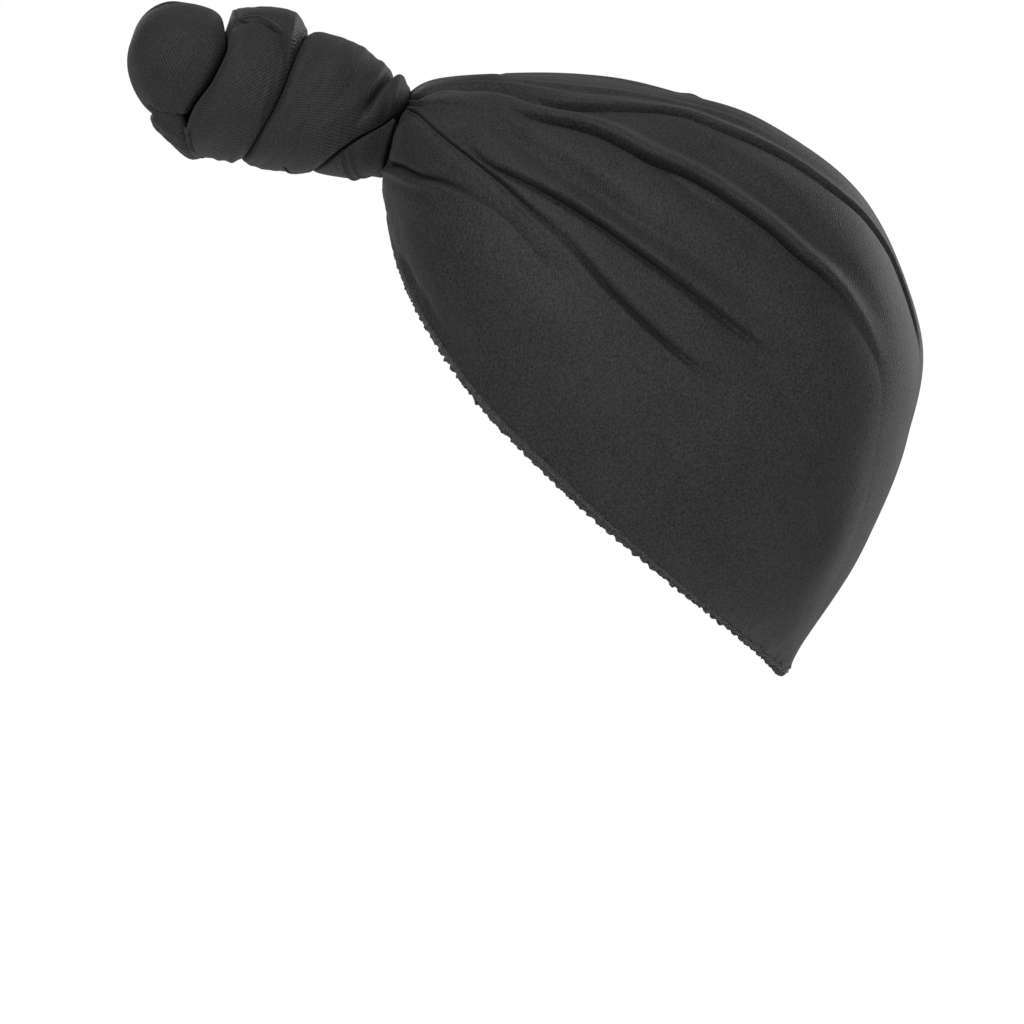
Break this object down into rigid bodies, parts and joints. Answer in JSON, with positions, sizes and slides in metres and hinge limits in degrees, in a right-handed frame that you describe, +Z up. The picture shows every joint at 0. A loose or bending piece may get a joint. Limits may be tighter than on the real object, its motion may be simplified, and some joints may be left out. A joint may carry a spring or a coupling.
{
  "type": "turban headwrap",
  "caption": "Close-fitting knit turban cap with pleats fanning back from a wound, forward-standing knot above the brow and a ruffled overlocked edge round the face and nape.",
  "frame": {"origin": "inside of the crown, where the top of the head that wears it meets the cloth", "axes": "+Z up, -Y towards the face and the knot, +X towards the wearer's left side"},
  "size_m": [0.1553, 0.2622, 0.2239],
  "materials": {
    "cap_jersey": "fine matt stretch jersey",
    "knot_jersey": "stretch jersey with visible knit lines",
    "overlock_thread": "spun thread wrapped over a ruffled edge"
  },
  "bodies": {
    "root": {"gathered_cap": "cap_jersey", "edge_overlock": "overlock_thread", "gathered_neck": "knot_jersey", "under_wrap": "knot_jersey", "wound_strand": "knot_jersey", "over_strand": "knot_jersey", "tip_bulb": "knot_jersey", "tucked_end": "knot_jersey"}
  },
  "joints": []
}
